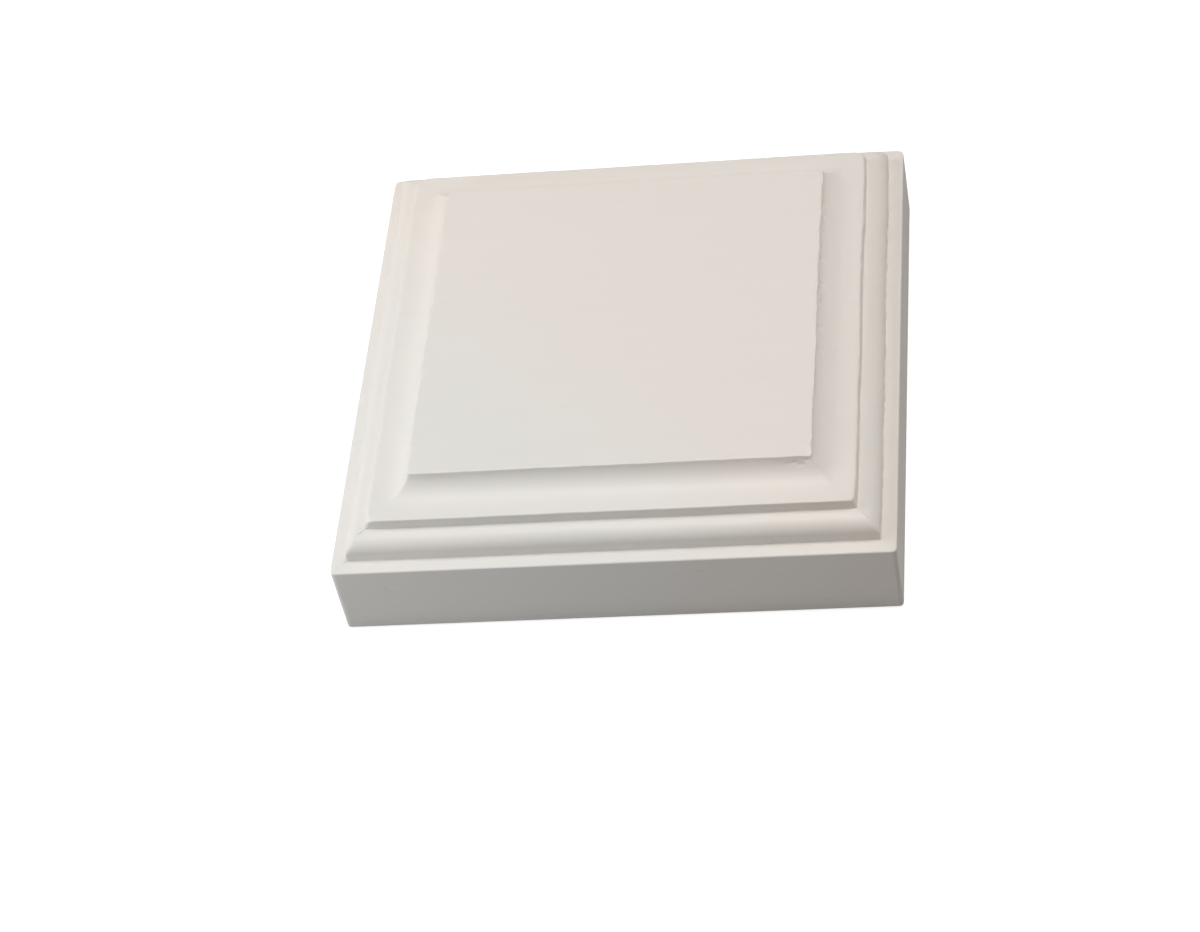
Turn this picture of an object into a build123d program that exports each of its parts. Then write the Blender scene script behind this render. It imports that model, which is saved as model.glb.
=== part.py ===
from build123d import *
import os

# A square corner block for door and window trim, in millimetres.
# It lies on its back: the origin is at the middle of the back, +Z points out of the moulded face,
# and the grain runs along X.

# The board that the block is cut from
side = 101.6
thickness = 25.4

# The face moulding, from the outer edge towards the panel
rim_width = 2.75      # flat rim left at the outer edge
quirk_rise = 1.2      # short upright above the rim
ovolo_radius = 2.8    # convex quarter-round that climbs from the upright
ledge_width = 1.2     # narrow flat between the quarter-round and the step
step_rise = 2.3       # upright step above the ledge
band_width = 3.4      # flat band between the step and the cove
cove_radius = 4.4     # hollow that climbs from the band to the panel
panel_rise = 3.6      # height of the panel above the band

# Edges softened by sanding and primer
corner_radius = 0.9   # upright corners of the board
rim_radius = 0.35     # outer edge of the rim
back_radius = 0.5     # edge all round the back
arris_radius = 0.25   # edges of the step and of the panel

# How far the cutter's outline reaches past the board
overcut = 5.0

# How closely the place of an edge or corner is matched when it is picked out
match = 0.01

# Heights of the flats above the back, worked down from the face
band_height = thickness - panel_rise
ledge_height = band_height - step_rise
quirk_height = ledge_height - ovolo_radius
rim_height = quirk_height - quirk_rise

# Places across the section, worked inwards from the outer edge
edge_x = side / 2
quirk_x = edge_x - rim_width
ledge_x = quirk_x - ovolo_radius
step_x = ledge_x - ledge_width
cove_foot_x = step_x - band_width


# The outline of the moulding cutter as it passes the +X edge of the board.
# The cove is a whole quarter-circle here, and the face of the board ends it where it meets the panel.
def cutter_profile():
    cove_centre_height = band_height + cove_radius
    cove_top_x = cove_foot_x - cove_radius
    outside_x = edge_x + overcut
    above = max(thickness, cove_centre_height) + overcut
    with BuildSketch(Plane.XZ) as profile:
        with BuildLine():
            Line((outside_x, above), (outside_x, rim_height))
            Polyline((outside_x, rim_height), (quirk_x, rim_height), (quirk_x, quirk_height))
            CenterArc((ledge_x, quirk_height), ovolo_radius, 0, 90)
            Polyline((ledge_x, ledge_height), (step_x, ledge_height), (step_x, band_height))
            Line((step_x, band_height), (cove_foot_x, band_height))
            CenterArc((cove_foot_x, cove_centre_height), cove_radius, 180, 90)
            Polyline((cove_top_x, cove_centre_height), (cove_top_x, above), (outside_x, above))
        make_face()
    return profile.sketch


# The block cut through its middle: the board less one cutter profile at each edge,
# with the edges of the step and of the panel eased
def block_section():
    board = Plane.XZ * Pos(0, thickness / 2) * Rectangle(side, thickness)
    cutter = cutter_profile()
    section = board - cutter - mirror(cutter, about=Plane.YZ)
    panel_edges = section.vertices().group_by(Axis.Z)[-1]
    step_edges = section.vertices().filter_by(
        lambda corner: abs(corner.Z - band_height) < match and abs(abs(corner.X) - step_x) < match
    )
    return fillet(panel_edges + step_edges, arris_radius)


# The section carried along both directions of the board.
# Where the two runs cross, the mouldings meet in mitres at the four corners.
def mitred_block():
    run = extrude(block_section(), amount=side / 2, both=True)
    return run & run.rotate(Axis.Z, 90)


# The edges of the board's outline at one height
def outline_at(block, height):
    reach = edge_x - corner_radius - match
    level = block.edges().filter_by_position(Axis.Z, height - match, height + match)
    return level.filter_by(lambda edge: max(abs(edge.center().X), abs(edge.center().Y)) > reach)


# The upright corners, the rim's outer edge and the edge of the back, eased in that order
def eased_block():
    block = mitred_block()
    upright_corners = block.edges().filter_by(Axis.Z).filter_by(
        lambda edge: min(abs(edge.center().X), abs(edge.center().Y)) > edge_x - match
    )
    block = fillet(upright_corners, corner_radius)
    block = fillet(outline_at(block, rim_height), rim_radius)
    return fillet(outline_at(block, 0), back_radius)


corner_block = eased_block()
corner_block.label = "corner_block"

os.makedirs("parts", exist_ok=True)
export_step(corner_block, "parts/corner_block.step")
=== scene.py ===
import math

import bpy
import numpy as np
from mathutils import Matrix, Vector, noise


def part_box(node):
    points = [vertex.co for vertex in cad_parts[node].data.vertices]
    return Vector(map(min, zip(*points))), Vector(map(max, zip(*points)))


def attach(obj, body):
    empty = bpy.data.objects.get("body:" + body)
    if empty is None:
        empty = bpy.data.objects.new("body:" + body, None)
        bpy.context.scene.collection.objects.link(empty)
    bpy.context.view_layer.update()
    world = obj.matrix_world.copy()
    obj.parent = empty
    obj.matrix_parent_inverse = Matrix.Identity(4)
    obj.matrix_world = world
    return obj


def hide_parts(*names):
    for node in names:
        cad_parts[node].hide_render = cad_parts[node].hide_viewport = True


mm = 0.001   # the sizes below are in millimetres, and Blender works in metres

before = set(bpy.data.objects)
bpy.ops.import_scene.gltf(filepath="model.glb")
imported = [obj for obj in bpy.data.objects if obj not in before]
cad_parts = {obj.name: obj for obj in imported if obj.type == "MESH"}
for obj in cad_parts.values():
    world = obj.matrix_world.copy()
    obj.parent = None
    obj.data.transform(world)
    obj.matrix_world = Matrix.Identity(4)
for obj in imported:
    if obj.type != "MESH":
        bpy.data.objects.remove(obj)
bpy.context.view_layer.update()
boxLow, boxHigh = [np.array(corner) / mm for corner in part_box("corner_block")]
print("frame loaded, the block measures", np.round(boxHigh - boxLow, 2).tolist(), "mm")


# The camera: where it looks, and from where
view = {
    "aim": (-3.931, -25.325, 12.7),
    "distance": 574.959,
    "azimuth": 14.119,      # degrees, from the front towards the right
    "elevation": 47.57,
    "roll": -13.163,
    "lens": 94.433,
    "sensor": 36.0,
}


def makeCamera(v):
    azimuth = math.radians(v["azimuth"])
    elevation = math.radians(v["elevation"])
    roll = math.radians(v["roll"])
    back = Vector((math.sin(azimuth) * math.cos(elevation), -math.cos(azimuth) * math.cos(elevation),
                   math.sin(elevation)))
    level = Vector((math.cos(azimuth), math.sin(azimuth), 0.0))
    upright = back.cross(level)
    right = level * math.cos(roll) + upright * math.sin(roll)
    place = (Vector(v["aim"]) + back * v["distance"]) * mm
    data = bpy.data.cameras.new("camera")
    data.lens = v["lens"]
    data.sensor_width = v["sensor"]
    camera = bpy.data.objects.new("camera", data)
    axes = Matrix((right, back.cross(right), back)).transposed()
    camera.matrix_world = Matrix.Translation(place) @ axes.to_4x4()
    bpy.context.scene.collection.objects.link(camera)
    bpy.context.scene.camera = camera


makeCamera(view)
print("camera set")


# The block: the moulding of its face, from the outer edge towards the panel
block = {
    "rimWidth": 2.8,         # flat rim at the outer edge
    "quirkRise": 1.3,        # short upright above it
    "ovoloRadius": 2.8,      # quarter-round that climbs from there
    "ledgeWidth": 1.1,       # narrow flat at the foot of the step
    "stepRise": 2.1,         # upright step
    "stepLean": 0.0,         # how far the step's foot stands out
    "bandWidth": 3.4,        # flat band above the step
    "coveRadius": 4.4,       # hollow that climbs to the panel
    "panelRise": 3.6,        # the panel above the band
    "rimEase": 0.35,         # softened outer edge of the rim
    "backEase": 0.5,         # softened edge round the back
    "stepArris": 0.25,       # softened edge of the step
    "panelArris": 0.15,      # and of the panel
    "footFill": 0.15,        # primer that gathers in the angle above the rim
    "stepFill": 0.08,        # and at the foot of the step
    # Plan radii of the corners. Four of them go round from the front left corner to the rear left one.
    "outerCorner": 0.9,      # the upright corners
    "footCorner": 0.35,      # the mitres at the foot of the quarter-round
    "ovoloCorner": (1.5, 1.0, 1.0, 1.0),   # halfway up the quarter-round
    "stepFootCorner": 0.3,   # at the foot of the step
    "stepCorner": 1.1,       # at the top of the step
    "coveCorner": (0.35, 1.0, 0.35, 0.35),   # at the foot of the hollow
    "panelCorner": 0.4,      # at the panel
    # Where the mesh has its rings and points
    "bandTurn": 1.3,         # how far from the step the band's corners begin to tighten
    "backRing": 0.4,         # a ring this far inside the softened edge of the back
    "panelRings": (1.2, 5.0),   # and two inside the edge of the panel
    "longSteps": 160,        # divisions of a side that runs with the grain
    "longCrowding": 0.8,     # how much closer they are near its ends, from above 0 to 1
    "endSteps": 420,         # divisions of a side that crosses it
    "endCrowding": 0.01,     # these lie evenly
    "cornerSteps": 4,        # divisions of half a corner
}
# Where a side differs from the front one, which the cutter's fence and the sanding explain
sideWear = {
    "front": {},
    "right": {"quirkRise": 1.2, "ledgeWidth": 1.2, "stepRise": 2.3, "stepLean": 0.15, "bandWidth": 3.3,
              "stepArris": 0.4},
    "rear": {"ledgeWidth": 0.8, "bandWidth": 3.7},
    "left": {"rimWidth": 2.65, "quirkRise": 1.7, "ovoloRadius": 2.4, "ledgeWidth": 1.25, "bandWidth": 3.8,
             "stepArris": 1.0},
}
facingOf = {"front": (0, -1), "right": (1, 0), "rear": (0, 1), "left": (-1, 0)}


# Points on an arc of the section, as inset from the outer edge and height.
# An angle of 0 points out of the block's side and 90 points up.
def arc(inset, height, radius, start, end, steps):
    angles = np.radians(np.linspace(start, end, steps + 1))
    return np.stack([inset - radius * np.cos(angles), height + radius * np.sin(angles)], axis=1)


def straight(start, end, steps):
    return np.linspace(start, end, steps + 1)


# The section from the back up to the panel, with the plan radius of the corners at each of its points.
# Each stretch is its points and the radius where it begins and ends. The last number that an arc or a
# straight is given is how many steps it has.
def blockSection(b, thickness):
    bandHeight = thickness - b["panelRise"]
    stepFoot = bandHeight - b["stepRise"]
    quirkTop = stepFoot - b["ovoloRadius"]
    rimHeight = quirkTop - b["quirkRise"]
    ovoloInset = b["rimWidth"] + b["ovoloRadius"]
    stepInset = ovoloInset + b["ledgeWidth"]
    stepOut = stepInset - b["stepLean"]
    bandTurn = stepInset + b["bandTurn"]
    coveInset = stepInset + b["bandWidth"]
    coveCentre = bandHeight + b["coveRadius"]
    footFill, stepFill, stepArris, panelArris, ease = [
        b[name] for name in ("footFill", "stepFill", "stepArris", "panelArris", "backEase")]
    reach = b["coveRadius"] + panelArris
    panelInset = coveInset + math.sqrt(reach ** 2 - (coveCentre - thickness + panelArris) ** 2)
    coveTurn = math.degrees(math.asin((panelInset - coveInset) / reach))
    innerRing, lastRing = [panelInset + further for further in b["panelRings"]]
    outer, foot, ovolo, stepBase, step, cove, panel = [
        np.full(4, b[name + "Corner"])
        for name in ("outer", "foot", "ovolo", "stepFoot", "step", "cove", "panel")]
    stretches = [
        (straight((ease + b["backRing"], 0), (ease, 0), 1), outer - ease, outer - ease),
        (arc(ease, ease, ease, -90, 0, 4), outer - ease, outer),
        (straight((0, ease), (0, rimHeight - b["rimEase"]), 3), outer, outer),
        (arc(b["rimEase"], rimHeight - b["rimEase"], b["rimEase"], 0, 90, 4), outer, outer - b["rimEase"]),
        (straight((b["rimEase"], rimHeight), (b["rimWidth"] - footFill, rimHeight), 3),
         outer - b["rimEase"], foot),
        (arc(b["rimWidth"] - footFill, rimHeight + footFill, footFill, -90, -180, 3), foot, foot),
        (straight((b["rimWidth"], rimHeight + footFill), (b["rimWidth"], quirkTop), 2), foot, foot),
        (arc(ovoloInset, quirkTop, b["ovoloRadius"], 0, 45, 5), foot, ovolo),
        (arc(ovoloInset, quirkTop, b["ovoloRadius"], 45, 90, 5), ovolo, stepBase),
        (straight((ovoloInset, stepFoot), (stepOut - stepFill, stepFoot), 2), stepBase, stepBase),
        (arc(stepOut - stepFill, stepFoot + stepFill, stepFill, -90, -180, 3), stepBase, stepBase),
        (straight((stepOut, stepFoot + stepFill), (stepInset, bandHeight - stepArris), 3), stepBase, step),
        (arc(stepInset + stepArris, bandHeight - stepArris, stepArris, 0, 90, 4), step, step),
        (straight((stepInset + stepArris, bandHeight), (bandTurn, bandHeight), 3), step, step),
        (straight((bandTurn, bandHeight), (coveInset, bandHeight), 2), step, cove),
        (arc(coveInset, coveCentre, b["coveRadius"], -90, -90 - coveTurn / 2, 6), cove, panel),
        (arc(coveInset, coveCentre, b["coveRadius"], -90 - coveTurn / 2, -90 - coveTurn, 13), panel, panel),
        (arc(panelInset, thickness - panelArris, panelArris, 90 - coveTurn, 90, 3), panel, panel),
        (straight((panelInset, thickness), (innerRing, thickness), 4), panel, panel),
        (straight((innerRing, thickness), (lastRing, thickness), 2), panel, panel),
    ]
    points = [stretches[0][0][:1]]
    corners = [[stretches[0][1]]]
    for stretch, first, last in stretches:
        points.append(stretch[1:])
        corners.append(np.linspace(first, last, len(stretch))[1:])
    edges = {
        "rim": (0, rimHeight),
        "foot": (b["rimWidth"], rimHeight),
        "step": (stepInset, bandHeight),
        "panel": (panelInset, thickness),
    }
    return np.concatenate(points), np.concatenate(corners), edges


# One side of a ring as seen from outside, from the middle of its first corner to the middle of its last.
# It comes back as places along the side, depths behind its outermost line, and how far the outline turns.
def ringSide(half, first, last, steps, crowding, cornerSteps):
    turn = np.radians(np.linspace(45, 0, cornerSteps + 1))[:-1]
    back = turn[::-1]
    flat = np.zeros(steps + 1)
    even = np.linspace(-1, 1, steps + 1)
    spread = np.sin(even * crowding * math.pi / 2) / math.sin(crowding * math.pi / 2)
    middle = (first - last) / 2 + spread * (half - (first + last) / 2)
    along = np.concatenate([first - half - first * np.sin(turn), middle, half - last + last * np.sin(back)])
    depth = np.concatenate([first * (1 - np.cos(turn)), flat, last * (1 - np.cos(back))])
    lean = np.concatenate([-np.sin(turn), flat, np.sin(back)])
    return along, depth, lean


# A whole ring in plan, with the direction that it faces at each point
def ring(half, corners, b):
    places = []
    facings = []
    for quarter in range(4):                      # front, right, rear, left
        steps, crowding = b["endSteps"], b["endCrowding"]
        if quarter % 2 == 0:
            steps, crowding = b["longSteps"], b["longCrowding"]
        first, last = corners[quarter], corners[(quarter + 1) % 4]
        along, depth, lean = ringSide(half, first, last, steps, crowding, b["cornerSteps"])
        x, y = along, depth - half
        faceX, faceY = lean, -np.sqrt(1 - lean ** 2)
        for _ in range(quarter):
            x, y, faceX, faceY = -y, x, -faceY, faceX
        places.append(np.stack([x, y], axis=1)[:-1])
        facings.append(np.stack([faceX, faceY], axis=1)[:-1])
    return np.concatenate(places), np.concatenate(facings)


# How the cutter and the sanding left the wood, in millimetres
cutting = {
    "wander": 0.06,          # the cutter's path strays, and with it a side's whole moulding
    "wanderLength": 19.0,
    "withGrain": 0.35,       # how much of any unevenness is left where a side runs with the grain
    "leftSkew": 0.0075,      # how far the left cut turns inwards towards the front, in a millimetre
    "skewEnd": (6.0, 12.0),  # between which insets this dies away
    "ripple": 0.025,         # shallow waves over the mouldings across the grain
    "rippleLength": 4.0,
    "rippleStop": 0.5,       # how far short of the panel they end
    "reach": 0.8,            # how far from its line an edge's own unevenness is felt
    "fineShare": 0.6,        # a finer unevenness on top of it, as a share of its size
    "fineTimes": 2.3,        # and how many times shorter
    "rubReach": 1.4,         # how far from a corner its rubbing is felt
    "rubInwards": 0.5,       # how much it moves inwards along X and Y for each millimetre down
    "biteSize": (0.6, 1.2),  # the smallest and the largest bite, as a share of the sizes given for it
    "wanderSeed": 20,
    "rippleSeed": 9,
    "biteSeed": 7,
}
noiseLevel = 0.28            # the noise's own size on average
leastFelt = 0.01             # below this share an edge's unevenness is left out
# Each edge is ragged where it crosses the grain, and its corners are rubbed down. Four numbers go round
# from the front left corner to the rear left one.
edgeWork = {
    "rim": {"ragged": 0.01, "grain": 5.0, "rubbed": 0.10},
    "foot": {"ragged": 0.07, "grain": 2.4, "rubbed": 0.0},
    "step": {"ragged": 0.03, "grain": 3.8, "rubbed": (0.35, 0.30, 0.30, 0.30)},
    "panel": {"ragged": 0.07, "grain": 4.2, "rubbed": (0.15, 0.35, 0.15, 0.15)},
}
# The panel's front right corner broke away unevenly: it stands out to the side, less and less up the edge
breakout = {"out": 0.22, "length": 2.2, "reach": 0.7}
# Bites that the cutter tore out beside an edge: on which sides and where along them (to the right as seen
# from outside), how far out of the edge and above it, how deep, how far along the grain and how wide
tearOuts = [
    {"edge": "panel", "sides": ("right", "left"), "out": (0.3, 0.9), "rise": (-1.9, -1.1),
     "along": (28.0, 25.0, 20.7, 19.8, 16.7, 13.6, 7.3, 3.3, 1.8, -4.0, -9.5),
     "depth": 0.28, "run": 0.8, "width": 0.34},
    {"edge": "panel", "sides": ("front",), "out": (0.2, 0.7), "rise": (-2.0, -0.9),
     "along": (35.6, 35.0, 34.3, 33.5, 32.4), "depth": 0.22, "run": 0.35, "width": 0.26},
    {"edge": "foot", "sides": ("right", "left"), "out": (0.0, 0.2), "rise": (0.1, 0.9),
     "along": (34.7, 28.7, 26.3, 22.8, 20.1, 14.6, 10.1, 7.2, -2.5, -44.4, -45.8, -46.9),
     "depth": 0.40, "run": 0.45, "width": 0.45},
]


def unevenness(place, length, seed):
    return noise.noise(place / length + Vector((seed, 3 * seed, -seed))) / noiseLevel


def bitePlaces(t, edge, half, points, random):
    bites = []
    for side in t["sides"]:
        faceX, faceY = facingOf[side]
        for along in t["along"]:
            size = random.uniform(*cutting["biteSize"])
            out = half - edge[0] + random.uniform(*t["out"])
            place = np.array([out * faceX - along * faceY, out * faceY + along * faceX,
                              edge[1] + random.uniform(*t["rise"])])
            nearest = points[((points - place) ** 2).sum(axis=1).argmin()]
            reach = np.array([t["run"], t["width"], (t["run"] + t["width"]) / 2])
            bites.append((nearest, t["depth"] * size, reach * size))
    return bites


def workedWood(points, facings, normals, insets, edges, half):
    moved = points.copy()
    endGrain = facings[:, 0] ** 2
    share = cutting["withGrain"] + (1 - cutting["withGrain"]) * endGrain
    shift = np.zeros(len(points))
    which = np.where(points[:, 1] < 0, np.where(points[:, 0] < 0, 0, 1), np.where(points[:, 0] > 0, 2, 3))
    outline = points[:, :2] + facings * insets[:, None]
    for i in np.nonzero(insets > 0)[0]:
        stray = unevenness(Vector((*outline[i], 0)), cutting["wanderLength"], cutting["wanderSeed"])
        shift[i] = cutting["wander"] * stray * min(insets[i] / block["rimWidth"], 1)
    onLeft = np.clip(-facings[:, 0], 0, 1) ** 2
    skewFrom, skewTo = cutting["skewEnd"]
    fade = np.clip(insets / block["rimWidth"], 0, 1) * np.clip((skewTo - insets) / (skewTo - skewFrom), 0, 1)
    shift -= cutting["leftSkew"] * points[:, 1] * onLeft * fade
    for seed, (name, (inset, height)) in enumerate(edges.items()):
        e = edgeWork[name]
        away = (insets - inset) ** 2 + (points[:, 2] - height) ** 2
        felt = np.exp(-away / cutting["reach"] ** 2)
        for i in np.nonzero(felt > leastFelt)[0]:
            place = Vector(points[i])
            fine = unevenness(place, e["grain"] / cutting["fineTimes"], seed)
            ragged = unevenness(place, e["grain"], seed) + cutting["fineShare"] * fine
            shift[i] += e["ragged"] * ragged * felt[i]
        corner = np.column_stack([np.abs(points[:, 0]) - half + inset, np.abs(points[:, 1]) - half + inset,
                                  points[:, 2] - height])
        feltThere = np.exp(-(corner ** 2).sum(axis=1) / cutting["rubReach"] ** 2)
        rubbed = np.full(4, e["rubbed"])[which] * feltThere
        inwards = cutting["rubInwards"] * np.sign(points[:, :2])
        moved -= rubbed[:, None] * np.column_stack([inwards, np.ones(len(points))])
    moved[:, :2] -= facings * (shift * share)[:, None]
    inset, height = edges["panel"]
    reach = (breakout["reach"], breakout["length"], breakout["reach"])
    away = (points - (half - inset, inset - half, height)) / reach
    moved[:, 0] += breakout["out"] * np.exp(-(away ** 2).sum(axis=1))
    random = np.random.default_rng(cutting["biteSeed"])
    for t in tearOuts:
        for place, depth, reach in bitePlaces(t, edges[t["edge"]], half, points, random):
            away = (((points - place) / reach) ** 2).sum(axis=1)
            moved -= normals * (depth * np.exp(-away))[:, None]
    moulding = (insets > block["rimWidth"]) & (insets < edges["panel"][0] - cutting["rippleStop"])
    for i in np.nonzero(moulding)[0]:
        wave = unevenness(Vector(points[i]), cutting["rippleLength"], cutting["rippleSeed"])
        moved[i] += normals[i] * wave * cutting["ripple"] * endGrain[i]
    return moved


def buildBlock(b):
    half = (boxHigh[0] - boxLow[0]) / 2
    sections = {side: blockSection({**b, **worn}, boxHigh[2] - boxLow[2]) for side, worn in sideWear.items()}
    section, corners, edges = sections["front"]
    slope = np.gradient(section, axis=0)
    slope /= np.linalg.norm(slope, axis=1)[:, None]
    points, facings, normals = [], [], []
    for k, (rise, climb) in enumerate(slope):
        facing = ring(half, corners[k], b)[1]
        count = len(facing)
        placed = np.zeros((count, 3))
        for side, (own, ownCorners, _) in sections.items():
            share = np.clip(facing @ facingOf[side], 0, 1) ** 2
            plan = ring(half - own[k, 0], ownCorners[k], b)[0]
            placed += share[:, None] * np.column_stack([plan, np.full(count, own[k, 1])])
        points.append(placed)
        facings.append(facing)
        normals.append(np.column_stack([facing * climb, np.full(count, rise)]))
    points = workedWood(np.concatenate(points), np.concatenate(facings), np.concatenate(normals),
                        np.repeat(section[:, 0], count), edges, half)
    here = np.arange(count)
    after = np.roll(here, -1)
    faces = []
    for k in range(len(section) - 1):
        low, high = k * count, (k + 1) * count
        faces += np.stack([low + here, low + after, high + after, high + here], axis=1).tolist()
    lastRing, backMiddle, panelMiddle = len(points) - count, len(points), len(points) + 1
    faces += np.stack([after, here, np.full(count, backMiddle)], axis=1).tolist()
    faces += np.stack([lastRing + here, lastRing + after, np.full(count, panelMiddle)], axis=1).tolist()
    points = np.concatenate([points, [[0, 0, section[0, 1]], [0, 0, section[-1, 1]]]])
    points += ((boxLow + boxHigh) / 2)[0], ((boxLow + boxHigh) / 2)[1], boxLow[2]
    points = np.clip(points, boxLow, boxHigh)
    mesh = bpy.data.meshes.new("corner_block_primed")
    mesh.from_pydata((points * mm).tolist(), [], faces)
    mesh.shade_smooth()
    piece = bpy.data.objects.new("corner_block_primed", mesh)
    bpy.context.scene.collection.objects.link(piece)
    triangles = sum(len(face) - 2 for face in faces)
    print("block built,", len(points), "points and", triangles, "triangles")
    return piece


# Adds a shader node; a socket is given either a plain value or another node's output
def addNode(tree, kind, sockets, **settings):
    node = tree.nodes.new("ShaderNode" + kind)
    for name, value in settings.items():
        setattr(node, name, value)
    for name, value in sockets.items():
        if isinstance(value, bpy.types.NodeSocket):
            tree.links.new(value, node.inputs[name])
        else:
            node.inputs[name].default_value = value
    return node.outputs


def newTree(owner):
    owner.use_nodes = True
    owner.node_tree.nodes.clear()
    return owner.node_tree


# The finish: satin off-white primer, thin enough to hint at the wood's grain, which runs along X
primer = {
    "coolColour": (0.746, 0.725, 0.690),   # towards the front left corner
    "warmColour": (0.771, 0.717, 0.659),   # towards the rear right one
    "toneMiddle": -28.0,                   # where between those corners the tone turns, as x plus y
    "toneSpread": 0.025,                   # how fast it does, in a millimetre
    "toneBlotch": 0.8,                     # and how unevenly
    "thin": (0.990, 0.988, 0.985),         # darkening over the harder streaks of the grain
    "thinFrom": (0.4, 0.75),               # where in the pattern of the grain it begins and is whole
    "sawnEndShade": (0.850, 0.850, 0.850),      # darkening on the sawn ends: partly painted shade on these sides, partly the primer that they soak up
    "sawnFade": 0.5,                       # over how many millimetres below the rim sawn turns to sanded
    "roughness": (0.47, 0.55),             # of the glossier and of the duller patches
    "roughFrom": (0.3, 0.7),               # where in the blotches these are reached
    "sawnRoughness": 0.85,                 # the sides and the back, sawn and not sanded
    "streak": (0.022, 0.9, 0.9),           # turns of the grain's pattern in a millimetre along X, Y and Z
    "streakDepth": 0.003,                  # millimetres, as all depths here
    "stipple": 2.0,                        # the primer's own fine texture, turns in a millimetre
    "stippleDepth": 0.006,
    "blotch": 0.10,                        # slow changes of tone and sheen, turns in a millimetre
    "pore": (0.08, 2.2, 2.2),              # open grain on the ends, turns in a millimetre
    "poreDepth": 0.02,
    "speck": (0.10, 0.25, 0.25),           # a few long dents on the sawn sides, likewise
    "speckSize": 0.14,                     # of one turn
    "speckDepth": 0.20,
}


def primedWood(p, sawnTop):
    material = bpy.data.materials.new("primed_wood")
    tree = newTree(material)
    coords = addNode(tree, "TexCoord", {})
    place = addNode(tree, "VectorMath", {0: coords["Object"], "Scale": 1 / mm}, operation="SCALE")[0]
    height = addNode(tree, "SeparateXYZ", {0: place})["Z"]
    sawn = addNode(tree, "MapRange", {"Value": height, "From Min": sawnTop - p["sawnFade"],
                                      "From Max": sawnTop, "To Min": 1.0, "To Max": 0.0})["Result"]
    facing = addNode(tree, "SeparateXYZ", {0: coords["Normal"]})["X"]
    endGrain = addNode(tree, "Math", {0: facing, 1: facing}, operation="MULTIPLY")[0]
    # Where the sawn ends are darkened: the sides that face along X, below the rim. This is partly painted
    # shade, partly soaked-up primer
    sawnEndShade = addNode(tree, "Math", {0: sawn, 1: endGrain}, operation="MULTIPLY")[0]

    grainPlace = addNode(tree, "VectorMath", {0: place, 1: p["streak"]}, operation="MULTIPLY")[0]
    streak = addNode(tree, "TexNoise", {"Vector": grainPlace, "Scale": 1.0, "Detail": 3.0})["Fac"]
    thin = addNode(tree, "MapRange", {"Value": streak, "From Min": p["thinFrom"][0],
                                      "From Max": p["thinFrom"][1]})["Result"]
    blotch = addNode(tree, "TexNoise", {"Vector": place, "Scale": p["blotch"], "Detail": 2.0})["Fac"]
    spread = (p["toneSpread"], p["toneSpread"], 0)
    across = addNode(tree, "VectorMath", {0: place, 1: spread}, operation="DOT_PRODUCT")["Value"]
    tone = addNode(tree, "Math", {0: blotch, 1: p["toneBlotch"], 2: across}, operation="MULTIPLY_ADD")[0]
    # The blotches are 0.5 on average, and the tone is halfway at the place where it turns
    evenly = 0.5 - 0.5 * p["toneBlotch"] - p["toneSpread"] * p["toneMiddle"]
    warm = addNode(tree, "Math", {0: tone, 1: evenly}, operation="ADD", use_clamp=True)[0]
    colour = addNode(tree, "Mix", {0: warm, 6: (*p["coolColour"], 1), 7: (*p["warmColour"], 1)},
                     data_type="RGBA")[2]
    # The grain's harder streaks darken the colour, and so does the painted shade on the sawn ends
    for mask, name in ((thin, "thin"), (sawnEndShade, "sawnEndShade")):
        colour = addNode(tree, "Mix", {0: mask, 6: colour, 7: (*p[name], 1)}, data_type="RGBA",
                         blend_type="MULTIPLY")[2]

    sheen = addNode(tree, "MapRange", {"Value": blotch, "From Min": p["roughFrom"][0],
                                       "From Max": p["roughFrom"][1], "To Min": p["roughness"][0],
                                       "To Max": p["roughness"][1]})["Result"]
    rough = addNode(tree, "Mix", {0: sawn, 2: sheen, 3: p["sawnRoughness"]}, data_type="FLOAT")[0]

    stipple = addNode(tree, "TexNoise", {"Vector": place, "Scale": p["stipple"], "Detail": 2.0})["Fac"]
    porePlace = addNode(tree, "VectorMath", {0: place, 1: p["pore"]}, operation="MULTIPLY")[0]
    pore = addNode(tree, "TexNoise", {"Vector": porePlace, "Scale": 1.0, "Detail": 2.0})["Fac"]
    openPore = addNode(tree, "Math", {0: pore, 1: endGrain}, operation="MULTIPLY")[0]
    speckPlace = addNode(tree, "VectorMath", {0: place, 1: p["speck"]}, operation="MULTIPLY")[0]
    cell = addNode(tree, "TexVoronoi", {"Vector": speckPlace, "Scale": 1.0})["Distance"]
    pit = addNode(tree, "MapRange", {"Value": cell, "From Min": 0.0, "From Max": p["speckSize"]})["Result"]
    sawnPit = addNode(tree, "Math", {0: pit, 1: sawn}, operation="MULTIPLY")[0]
    relief = None
    for shape, depth in ((streak, p["streakDepth"]), (stipple, p["stippleDepth"]),
                         (openPore, p["poreDepth"]), (sawnPit, p["speckDepth"])):
        sockets = {"Height": shape, "Distance": depth * mm}
        if relief:
            sockets["Normal"] = relief
        relief = addNode(tree, "Bump", sockets)["Normal"]

    shader = addNode(tree, "BsdfPrincipled", {"Base Color": colour, "Roughness": rough, "Normal": relief})
    addNode(tree, "OutputMaterial", {"Surface": shader["BSDF"]})
    return material


corner = buildBlock(block)
risesAboveRim = ("panelRise", "stepRise", "ovoloRadius", "quirkRise")
rimTop = boxHigh[2] - sum(block[name] for name in risesAboveRim)
corner.data.materials.append(primedWood(primer, rimTop))
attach(corner, "root")
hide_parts("corner_block")


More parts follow.
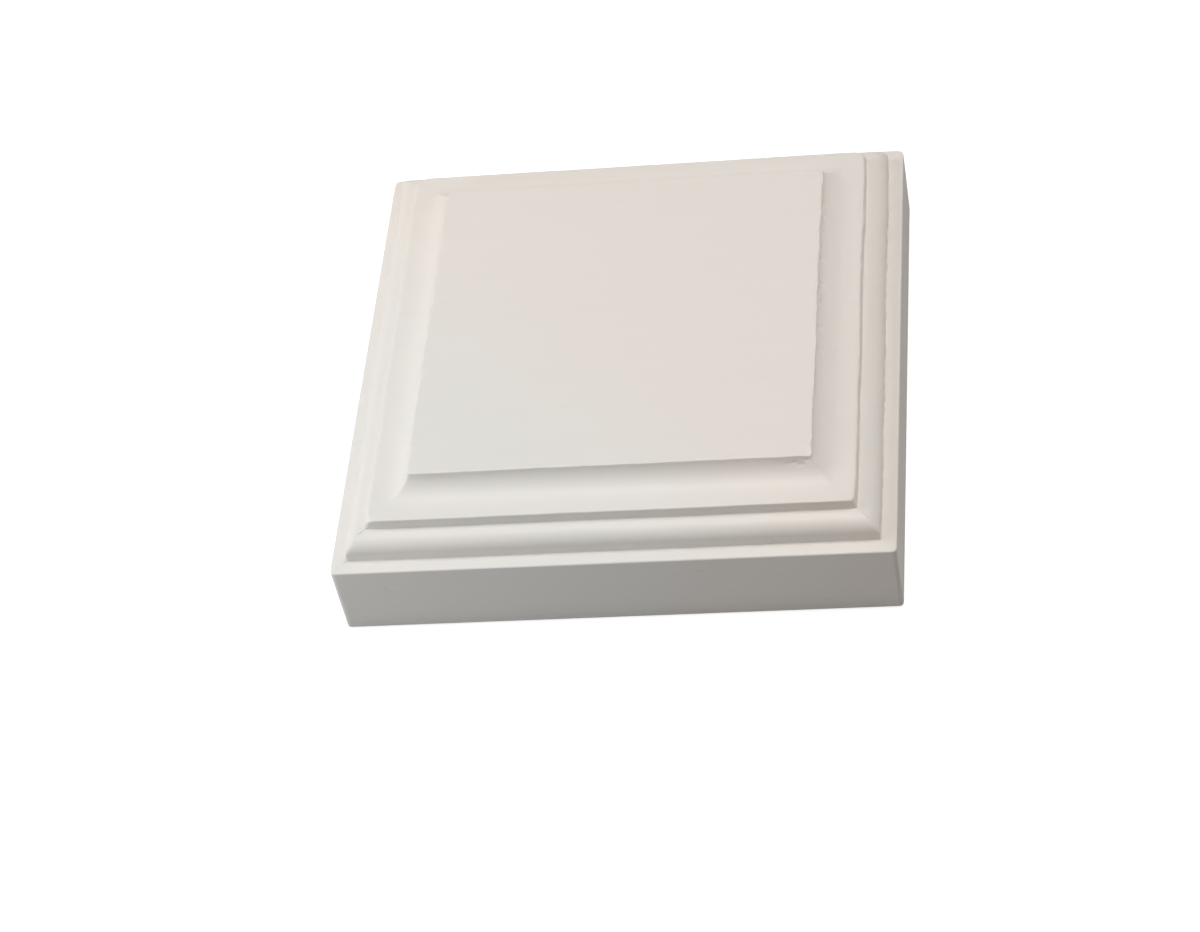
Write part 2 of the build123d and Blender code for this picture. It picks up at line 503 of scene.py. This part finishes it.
# The floor and the surroundings: white to the eye, and duller as a source of light on the block
room = {
    "floorHalf": 1500.0,   # how far the floor reaches to each side, in millimetres
    "floorDrop": 0.05,     # and how far it lies below the block
    "bounce": 0.40,        # how much of the light the floor sends back up
    "glow": 0.80,          # the floor's own white near the block
    "shade": 0.45,         # and what lamplight adds to it, which the block's shadow takes away
    "fade": (120.0, 350.0),   # where the floor turns plain white, from and to
    "world": 0.05,         # the faint light from all round
}


# 1 where the eye, a reflection or a view through glass meets the surroundings,
# and 0 for the light that they cast on things
def seenDirectly(tree):
    path = addNode(tree, "LightPath", {})
    eye = addNode(tree, "Math", {0: path["Is Camera Ray"], 1: path["Is Glossy Ray"]}, operation="MAXIMUM")[0]
    return addNode(tree, "Math", {0: eye, 1: path["Is Transmission Ray"]}, operation="MAXIMUM")[0]


def makeFloor(r):
    half, z = r["floorHalf"] * mm, -r["floorDrop"] * mm
    mesh = bpy.data.meshes.new("floor")
    corners = [(-half, -half, z), (half, -half, z), (half, half, z), (-half, half, z)]
    mesh.from_pydata(corners, [], [(0, 1, 2, 3)])
    floor = bpy.data.objects.new("floor", mesh)
    bpy.context.scene.collection.objects.link(floor)
    material = bpy.data.materials.new("floor")
    tree = newTree(material)
    glow = addNode(tree, "Emission", {"Color": (1, 1, 1, 1), "Strength": r["glow"]})[0]
    lit = addNode(tree, "BsdfDiffuse", {"Color": (r["shade"], r["shade"], r["shade"], 1)})[0]
    near = addNode(tree, "AddShader", {0: glow, 1: lit})[0]
    white = addNode(tree, "Emission", {"Color": (1, 1, 1, 1), "Strength": 1.0})[0]
    coords = addNode(tree, "TexCoord", {})
    away = addNode(tree, "VectorMath", {0: coords["Object"]}, operation="LENGTH")["Value"]
    far = addNode(tree, "MapRange", {"Value": away, "From Min": r["fade"][0] * mm,
                                     "From Max": r["fade"][1] * mm})["Result"]
    look = addNode(tree, "MixShader", {0: far, 1: near, 2: white})[0]
    dull = addNode(tree, "BsdfDiffuse", {"Color": (r["bounce"], r["bounce"], r["bounce"], 1)})[0]
    whole = addNode(tree, "MixShader", {0: seenDirectly(tree), 1: dull, 2: look})[0]
    addNode(tree, "OutputMaterial", {"Surface": whole})
    mesh.materials.append(material)


def makeWorld(r):
    world = bpy.data.worlds.new("world")
    bpy.context.scene.world = world
    tree = newTree(world)
    fill = addNode(tree, "Background", {"Strength": r["world"]})[0]
    white = addNode(tree, "Background", {"Color": (1, 1, 1, 1), "Strength": 1.0})[0]
    whole = addNode(tree, "MixShader", {0: seenDirectly(tree), 1: fill, 2: white})[0]
    addNode(tree, "OutputWorld", {"Surface": whole})


makeFloor(room)
makeWorld(room)
print("floor and surroundings made")


# The lamps: soft boxes that face the block, each with its place and size in millimetres and its watts.
# The low ones only lighten the shaded sides, without a glint, which would bleach the panel in a low view.
lamps = {
    "overhead": {"place": (0, 0, 800), "size": 300, "power": 2.33, "glint": True},
    "rear": {"place": (175, 175, 760), "size": 300, "power": 1.33, "glint": True},
    "left": {"place": (-450, 0, 420), "size": 200, "power": 0.924, "glint": True},
    "lowLeft": {"place": (-380, 0, 90), "size": 120, "power": 0.182, "glint": False},
    "frontLeft": {"place": (-300, -300, 90), "size": 120, "power": 0.538, "glint": False},
    "right": {"place": (493, 0, 630), "size": 300, "power": 0.540, "glint": True},
    "lowRight": {"place": (783, 0, 166), "size": 300, "power": 1.00, "glint": False},
}


def makeLamp(name, l):
    place = Vector(l["place"])
    data = bpy.data.lights.new(name, "AREA")
    data.shape = "SQUARE"
    data.size = l["size"] * mm
    data.energy = l["power"]
    lamp = bpy.data.objects.new(name, data)
    lamp.location = place * mm
    lamp.rotation_euler = place.to_track_quat("Z", "Y").to_euler()
    lamp.visible_camera = False
    lamp.visible_glossy = l["glint"]
    bpy.context.scene.collection.objects.link(lamp)


for name, settings in lamps.items():
    makeLamp(name, settings)
print("lamps made")

bpy.context.scene.view_settings.view_transform = "Standard"
